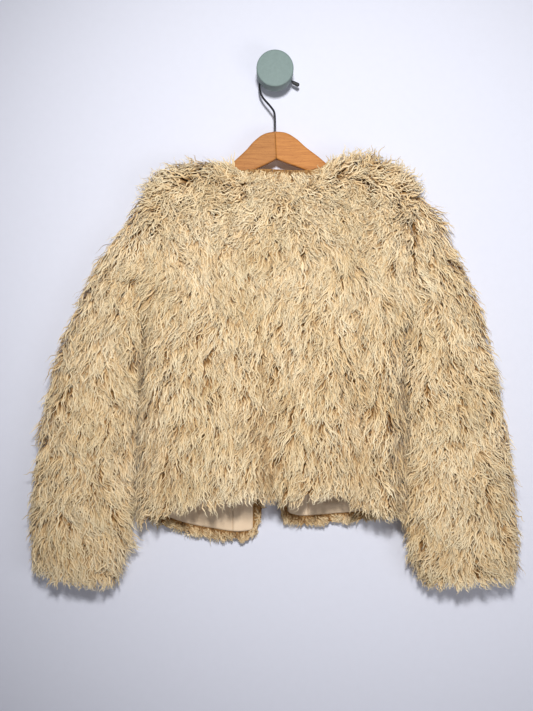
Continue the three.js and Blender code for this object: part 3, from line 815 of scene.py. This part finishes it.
def fur_material():
    """Pale tips and tan roots, the roots darkened further as painted shade deep in the pile; a tone
    of its own for each lock, with the painted shade it carries; and painted shade along each lock's
    edges.
    """
    sheen = dict(Sheen_Weight=0.25, Sheen_Roughness=0.4)
    material, nodes, links, shader = new_material("fur", 0.62, **sheen)
    shader.inputs["Specular IOR Level"].default_value = 0.25
    # Tan roots, darkened further here as painted shade deep in the pile, towards pale tips
    length = ramped(nodes, links, map_value(nodes, links, "strand", "Y"), [
        (0.0, (0.20, 0.09, 0.022)),
        (0.2, (0.46, 0.28, 0.115)),
        (0.42, (0.84, 0.68, 0.44)),
        (0.85, (0.94, 0.87, 0.67)),
    ])
    # Each lock's tone: random, times the painted shade that the pile passed in
    tone = ramped(nodes, links, map_value(nodes, links, "strand", "X"), [
        (0.0, (0.46, 0.35, 0.24)),
        (0.24, (0.88, 0.81, 0.72)),
        (1.0, (1.0, 1.0, 1.0)),
    ])
    place = object_place(nodes)
    patch = noise(nodes, links, place, 14.0)
    shade = ramped(nodes, links, patch, [(0.35, (0.90, 0.87, 0.80)), (0.65, (1.0, 1.0, 1.0))])
    # Painted shade: each lock is darker along both edges, as a round lock would be shaded; the same
    # ramp also gives its bump
    edge_shade_and_bump = ramped(nodes, links, map_value(nodes, links, "breadth", "X"), [
        (0.0, EDGE_SHADE),
        (0.22, (1, 1, 1)),
        (0.78, (1, 1, 1)),
        (1.0, EDGE_SHADE),
    ])
    colour = length
    for other in (tone, shade, edge_shade_and_bump):
        colour = multiplied(nodes, links, colour, other)
    links.new(colour, shader.inputs["Base Color"])
    add_bump(nodes, links, edge_shade_and_bump, shader, 0.4, 0.001)
    return material


def backing_material():
    """The knitted ground that the pile stands on."""
    material, nodes, links, shader = new_material("backing", 0.95)
    place = object_place(nodes)
    knit = noise(nodes, links, place, 420.0, 2.0)
    colour = ramped(nodes, links, knit, [(0.3, (0.24, 0.12, 0.035)), (0.7, (0.38, 0.21, 0.075))])
    links.new(colour, shader.inputs["Base Color"])
    add_bump(nodes, links, knit, shader, 0.5, 0.001)
    return material


def twill_material(name, light, dark):
    """Satin twill: a fine slanting rib, a soft sheen and faint unevenness."""
    sheen = dict(Sheen_Weight=0.3, Sheen_Roughness=0.3)
    material, nodes, links, shader = new_material(name, 0.5, **sheen)
    place = object_place(nodes)
    wave = nodes.new("ShaderNodeTexWave")
    wave.wave_type = "BANDS"
    wave.bands_direction = "DIAGONAL"
    wave.inputs["Scale"].default_value = 420.0
    wave.inputs["Distortion"].default_value = 0.8
    wave.inputs["Detail"].default_value = 1.0
    links.new(place, wave.inputs["Vector"])
    patch = noise(nodes, links, place, 60.0)
    ground = ramped(nodes, links, patch, [(0.3, dark), (0.7, light)])
    rib = ramped(nodes, links, wave.outputs["Fac"], [(0.0, (0.9, 0.89, 0.87)), (1.0, (1, 1, 1))])
    links.new(multiplied(nodes, links, ground, rib), shader.inputs["Base Color"])
    add_bump(nodes, links, wave.outputs["Fac"], shader, 0.12, 0.0004)
    return material


def wood_material(name, pale, dark, turn):
    """Lacquered beech: long grain with short dark flecks."""
    material, nodes, links, shader = new_material(name, 0.6)
    shader.inputs["Specular IOR Level"].default_value = 0.25
    place = object_place(nodes)
    grain = stretched(nodes, links, place, (38, 260, 620), (0, turn, 0))
    lines = noise(nodes, links, grain, 1.0, 5.0)
    ground = ramped(nodes, links, lines, [(0.32, dark), (0.62, pale)])
    short = stretched(nodes, links, place, (260, 500, 1500), (0, turn, 0))
    flecks = noise(nodes, links, short, 1.0, 2.0)
    fleck = ramped(nodes, links, flecks, [(0.33, (0.62, 0.5, 0.4)), (0.42, (1, 1, 1))])
    links.new(multiplied(nodes, links, ground, fleck, 0.7), shader.inputs["Base Color"])
    add_bump(nodes, links, lines, shader, 0.08, 0.0005)
    return material


def speckled_material(name, colour, other, rough, scale, strength, **sockets):
    """A painted, moulded or drawn surface with fine unevenness of colour and height."""
    material, nodes, links, shader = new_material(name, rough, **sockets)
    place = object_place(nodes)
    grain = noise(nodes, links, place, scale, 4.0)
    speckled = ramped(nodes, links, grain, [(0.3, colour), (0.7, other)])
    links.new(speckled, shader.inputs["Base Color"])
    add_bump(nodes, links, grain, shader, strength, 0.0003)
    return material


# Scene


def place_light(data, at, toward, power, colour):
    data.energy = power
    data.color = colour
    light = bpy.data.objects.new(data.name, data)
    light.location = at
    aim = Vector(toward) - Vector(at)
    light.rotation_euler = aim.to_track_quat("-Z", "Y").to_euler()
    bpy.context.scene.collection.objects.link(light)


def add_area(name, size, setting):
    data = bpy.data.lights.new(name, "AREA")
    data.shape = "RECTANGLE"
    data.size, data.size_y = size
    place_light(data, **setting)


def add_spot(name, radius, angle, setting):
    """A lamp in the room; its light fades towards the edges of the wall."""
    data = bpy.data.lights.new(name, "SPOT")
    data.shadow_soft_size = radius
    data.spot_size = angle
    data.spot_blend = 1.0
    place_light(data, **setting)


def stage_plane(name, corners, colour):
    material, nodes, links, shader = new_material(name, 0.9)
    place = object_place(nodes)
    grain = noise(nodes, links, place, 90.0, 6.0)
    darker = tuple(c * 0.985 for c in colour)
    mottled = ramped(nodes, links, grain, [(0.3, darker), (0.7, colour)])
    links.new(mottled, shader.inputs["Base Color"])
    face = np.array([[0, 1, 2, 3]])
    obj = object_from(name, np.array(corners) / MM, [face], [0], [material], False)
    return obj, nodes, links, shader


def make_stage():
    corners = [(-3, 0.001, -1.5), (3, 0.001, -1.5), (3, 0.001, 2.5), (-3, 0.001, 2.5)]
    wall, nodes, links, shader = stage_plane("wall", corners, WALL_COLOUR)
    # From behind one looks through the wall, so that the coat's other side can be seen and lit
    through = nodes.new("ShaderNodeBsdfTransparent")
    choose = nodes.new("ShaderNodeMixShader")
    side = nodes.new("ShaderNodeNewGeometry")
    output = [n for n in nodes if n.type == "OUTPUT_MATERIAL"][0]
    links.new(side.outputs["Backfacing"], choose.inputs["Fac"])
    links.new(shader.outputs["BSDF"], choose.inputs[1])
    links.new(through.outputs["BSDF"], choose.inputs[2])
    links.new(choose.outputs["Shader"], output.inputs["Surface"])
    wall.visible_shadow = False
    corners = [(-3, -4, -1.5), (3, -4, -1.5), (3, 4, -1.5), (-3, 4, -1.5)]
    stage_plane("floor", corners, FLOOR_COLOUR)


def make_lights():
    world = bpy.data.worlds.new("room")
    bpy.context.scene.world = world
    world.use_nodes = True
    background = world.node_tree.nodes["Background"]
    background.inputs["Color"].default_value = (*ROOM_LIGHT, 1)
    background.inputs["Strength"].default_value = ROOM_STRENGTH
    add_spot("lamp", LAMP_RADIUS, LAMP_ANGLE, LAMP)
    add_area("window", WINDOW_SIZE, WINDOW)
    add_area("behind", BEHIND_SIZE, BEHIND)


def make_camera():
    data = bpy.data.cameras.new("camera")
    data.sensor_width = 36
    data.lens = FOCAL_PIXELS * 36 / PICTURE_HIGH
    camera = bpy.data.objects.new("camera", data)
    camera.location = CAMERA_AT
    camera.rotation_euler = (math.pi / 2, 0, 0)
    bpy.context.scene.collection.objects.link(camera)
    bpy.context.scene.camera = camera


def add_piece(obj, slot, *nodes):
    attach(obj, "root")
    if nodes:
        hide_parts(*nodes)
    return obj


# Coat

DOWN = np.array([0.0, 0.0, -1.0])


def cloth(name, points, normals, wall, materials, **shape):
    """The thin cloth under the pile: outer side on the backing, inner side the lining."""
    inner = points - normals * wall[..., None]
    outer = inner + normals * BACKING
    return shell(name, outer, inner, materials, **shape)


def below_top(points):
    """How far each point of a panel lies below the panel's upper edge."""
    return points[0, :, 2][None, :] - points[..., 2]


def body_lean(points):
    """Which way the pile lies on the body, and how tangled it is: up and out over the shoulders,
    tangled below them, then down and a little to the left."""
    x = points[..., 0]
    below = np.maximum(below_top(points), 0)
    over = np.exp(-((below / 40) ** 1.6))
    nape = np.exp(-(((x - NAPE_X) / 55) ** 4))
    lean = np.zeros(points.shape)
    lean[..., 0] = -0.15 + over * (0.2 + 1.1 * np.tanh((x - 5) / 110))
    lean[..., 2] = -1 + (1.75 - 1.25 * nape) * over
    mess = np.exp(-(((below - 40) / 45) ** 2)) + 0.12 * np.exp(-below / 200)
    return lean, np.clip(mess, 0, 1)


def hem_trim(points, short):
    """Length of the locks as a share: shorter towards the lower edge."""
    return mix(short, 1, ease((points[..., 2] - points[-1:, :, 2]) / 40))


def back_fields(points):
    """Where the back's pile is denser and shorter, and darkened by painted shade: at its sides,
    nape, hem and folds.
    """
    x = points[..., 0]
    below = below_top(points)
    side = np.abs(np.linspace(-1, 1, points.shape[1]))[None, :]
    nape = np.exp(-(((x - NAPE_X) / 50) ** 4)) * np.exp(-((below / 26) ** 2))
    trim = hem_trim(points, 0.6) * (1 - 0.34 * nape)
    edge = np.exp(-(((x - NAPE_X) / 34) ** 2) - (below / 22) ** 2)
    weight = 1 + 1.2 * side**10 + 2 * edge
    # Painted shade: the pile is darker in the folds' valleys, and towards the sides by the sleeves,
    # where shade falls
    fold_shade = np.clip(1 + fold_out(x, points[..., 2]) / FOLD_SHADE_DEPTH, 0.15, 1)
    shade = fold_shade * (1 - 0.55 * side**10 * ease((below - 60) / 60))
    outward = np.sign(x) * 0.45 * side**8 * ease((below - 90) / 60)
    return trim, weight, shade, outward


def make_back(backing, lining, fur):
    points, normals, wall = back_grid()
    piece = cloth("back_cloth", points, normals, wall, [backing, lining])
    add_piece(piece, "fur", "back")
    lean, mess = body_lean(points)
    trim, weight, shade, outward = back_fields(points)
    lean[..., 0] += outward
    half = points.shape[0] * 48 // 100
    furs = []
    for name, rows, seed in (("upper", slice(0, half + 1), 11), ("lower", slice(half, None), 12)):
        grid = (points[rows], normals[rows], wall[rows])
        furs.append(pile(
            "back_fur_" + name, grid, lean[rows], PILE_COUNT["back"], seed, fur,
            weight[rows], mess[rows], trim[rows], shade[rows],
        ))
        add_piece(furs[-1], "fur")


def make_front(side, backing, lining, fur):
    points, normals, wall, bare = front_grid(side)
    piece = cloth(
        f"front_{side}_cloth", points, normals, wall, [backing, lining],
        flip=side == "left", bare=bare,
    )
    add_piece(piece, "fur", f"front_{side}")
    lean, mess = body_lean(points)
    seed = 20 + (side == "left")
    weight = 1 - 0.6 * np.exp(-((below_top(points) / 30) ** 2))
    furs = pile(
        f"front_{side}_fur", (points, normals, wall), lean, PILE_COUNT["front"], seed, fur,
        weight, mess, hem_trim(points, 0.34),
    )
    add_piece(furs, "fur")
    edges = [turned_edge(side, part, fur) for part in ("hem", "edge")]


def turned_edge(side, part, fur):
    """Short pile that is turned over a front's lower edge or front edge, beyond the lining."""
    edge = front_shares(side)[1]
    bottom = lining_end(side)
    if part == "hem":
        w, u = np.linspace(bottom + 0.04 * (1 - bottom), 1, 4), np.linspace(0.03, 1, 50)
    else:
        w, u = np.linspace(SHARE_UNDERARM, bottom, 40), np.linspace(mix(edge, 1, 0.08), 1, 4)
    points, normals, wall = front_surface(side, w[:, None], u[None, :])
    ground = points - normals * (wall + TURNED_HEIGHT - BACKING)[..., None]
    lean = np.zeros(points.shape)
    lean[..., 0] = -SIDES[side]["sign"] * (0.1 if part == "hem" else 1.0)
    lean[..., 2] = -1.0 if part == "hem" else -0.6
    grid = (ground, -normals, np.full(wall.shape, TURNED_HEIGHT))
    seed = 40 + 2 * (side == "left") + (part == "hem")
    # Painted shade: shade=0.3 darkens these locks, which the body shades; their fur is the same as
    # elsewhere
    furs = pile(
        f"front_{side}_{part}_fur", grid, lean, PILE_COUNT[part], seed, fur,
        mess=0.3, trim=0.36, shade=0.3,
    )
    return add_piece(furs, "fur")


def make_sleeve(side, backing, lining, fur):
    points, normals, wall, axis = sleeve_grid(side)
    piece = cloth(
        f"sleeve_{side}_cloth", points, normals, wall, [backing, lining], closed_round=True
    )
    add_piece(piece, "fur", f"sleeve_{side}_upper_arm", f"sleeve_{side}_forearm")
    sign = SIDES[side]["sign"]
    lean = np.broadcast_to(unit(0.5 * axis + 0.5 * DOWN), points.shape).copy()
    inner = np.maximum(-sign * normals[..., 0], 0)
    lean[..., 0] += sign * (0.08 + 0.3 * normals[..., 0] * sign - 0.4 * inner)
    weight = 1 - 0.35 * normals[..., 1] - 0.25 * sign * normals[..., 0]
    seed = 30 + (side == "left")
    furs = pile(
        f"sleeve_{side}_fur", (points, normals, wall), lean, PILE_COUNT["sleeve"], seed, fur,
        weight, 0.1, hem_trim(points, 0.62),
    )
    add_piece(furs, "fur")


def crease_out(side, x, z):
    total = 0.8 * np.sin(x / 9 + 2.1 * np.sin(z / 33)) + 0.5 * np.sin(z / 13 + x / 21)
    for crease in CREASES[side]:
        (ax, az), (bx, bz) = crease["start"], crease["end"]
        dx, dz = bx - ax, bz - az
        t = np.clip(((x - ax) * dx + (z - az) * dz) / (dx * dx + dz * dz), 0, 1)
        gap = np.hypot(x - ax - t * dx, z - az - t * dz)
        total = total + crease["out"] * np.exp(-((gap / crease["width"]) ** 2))
    return total


def satin_strip(name, side, first, last, depth_in, material):
    """A thin creased layer on the inner side of a front, between two shares of its width."""
    bottom = lining_end(side)
    w = np.linspace(mix(SHARE_UNDERARM, bottom, 1 / 9), bottom, 90)[:, None]
    columns = max(10, int(60 * (last - first)))
    u = np.linspace(first, last, columns)[None, :]
    points, normals, wall = front_surface(side, w, u)
    base = points - normals * wall[..., None]
    rim = ease(np.minimum(u - first, last - u) / 0.12) * ease((bottom - w) / 0.05 + 0.2)
    crease = crease_out(side, base[..., 0], base[..., 2]) * rim
    raised = depth_in + np.maximum(crease + 0.3, 0)[..., None]
    near = base - normals * raised
    far = near - normals * SATIN_WALL
    return shell(name, far, near, [material, material], flip=side == "right")


def make_lining(side, satin, strip):
    seam, edge = front_shares(side)
    start = seam * (1 / 11) ** 1.35
    overlap = 0.004
    lining = satin_strip(f"lining_front_{side}_satin", side, start, seam + overlap, SEAM_GAP, satin)
    add_piece(lining, "lining", f"lining_front_{side}")
    facing = satin_strip(f"facing_{side}_satin", side, seam, edge, SEAM_GAP + 1.0, strip)
    add_piece(facing, "facing", f"facing_{side}")


def hanger_rings(sign):
    """Sections of a half of the hanger, from the joint to its rounded end."""
    end_x = HANGER_STRAIGHT + HANGER_ROUND * np.sin(np.linspace(0.1, 1, 14) * math.pi / 2)
    x = np.concatenate([np.linspace(JOINT_GAP / 2, HANGER_STRAIGHT, 90), end_x])
    top = along(HANGER_TOP["x"], HANGER_TOP["z"], x)
    low = along(HANGER_LOW["x"], HANGER_LOW["z"], x)
    middle, half = (top + low) / 2, (top - low) / 2
    turn = np.arange(40) * 2 * math.pi / 40
    cos, sin = np.cos(turn)[None, :], np.sin(turn)[None, :]
    end = np.sqrt(np.clip((HANGER_END - x) / 6, 0, 1))[:, None]
    power = (2 * HANGER_SQUARE * 6 / np.maximum(half, 6))[:, None]
    z = middle[:, None] + half[:, None] * np.sign(cos) * np.abs(cos) ** power
    y = HANGER_THICK / 2 * np.sign(sin) * np.abs(sin) ** HANGER_SQUARE * mix(0.55, 1, end)
    x = sign * x[:, None] + 0 * y
    cos, sin = math.cos(HANGER_TILT), math.sin(HANGER_TILT)
    return np.stack([x * cos - z * sin, y + HANGER_Y, x * sin + z * cos + HANGER_TOP_Z], axis=-1)


def make_hanger():
    woods = {
        "left": wood_material("wood_left", (0.42, 0.18, 0.048), (0.31, 0.12, 0.028), 0.55),
        "right": wood_material("wood_right", (0.50, 0.21, 0.052), (0.38, 0.142, 0.032), -0.55),
    }
    for side in ("left", "right"):
        half = ring_solid(f"hanger_{side}_wood", hanger_rings(SIDES[side]["sign"]), woods[side])
        add_piece(half, f"wood_{side}", f"hanger_{side}")


def make_hook():
    steel = speckled_material(
        "steel", (0.10, 0.10, 0.11), (0.16, 0.16, 0.17), 0.24, 700, 0.04, Metallic=1.0
    )
    rubber = speckled_material(
        "rubber", (0.012, 0.013, 0.014), (0.022, 0.023, 0.025), 0.55, 500, 0.06
    )
    line = smooth_curve(np.stack([HOOK_LINE[k] for k in "xyz"], -1), 12)
    wire = ring_solid("hook_wire", tube_rings(line, np.full(len(line), WIRE_RADIUS), 14), steel)
    add_piece(wire, "wire", "hanger_hook")
    direction = unit(np.array(TIP_DIRECTION))
    far = np.linspace(TIP_PROFILE["along"][0], TIP_PROFILE["along"][-1], 40)
    cap_line = line[-1] + direction * (far[:, None] + 1.0)
    radii = np.interp(far, TIP_PROFILE["along"], TIP_PROFILE["radius"])
    add_piece(ring_solid("hook_cap", tube_rings(cap_line, radii, 20), rubber), "cap", "hook_tip")


def make_knob():
    paint = speckled_material(
        "sage_paint", (0.165, 0.225, 0.22), (0.185, 0.25, 0.243), 0.7, 300, 0.05
    )
    depth = np.array(KNOB_PROFILE["depth"])
    radius = np.array(KNOB_PROFILE["radius"])
    turn = np.arange(96) * 2 * math.pi / 96
    rings = np.stack([
        radius[:, None] * np.cos(turn),
        -depth[:, None] + 0 * turn,
        radius[:, None] * np.sin(turn),
    ], axis=-1)
    add_piece(ring_solid("knob_turned", rings, paint), "knob", "knob")


def main():
    bpy.context.scene.view_settings.view_transform = "Standard"
    make_camera()
    make_stage()
    make_lights()
    fur = fur_material()
    backing = backing_material()
    lining = twill_material("lining", (0.76, 0.59, 0.42), (0.68, 0.52, 0.36))
    facing = twill_material("facing", (0.80, 0.63, 0.45), (0.72, 0.55, 0.39))
    make_back(backing, lining, fur)
    for side in ("left", "right"):
        make_front(side, backing, lining, fur)
        make_sleeve(side, backing, lining, fur)
        make_lining(side, lining, facing)
    make_hanger()
    make_hook()
    make_knob()


main()
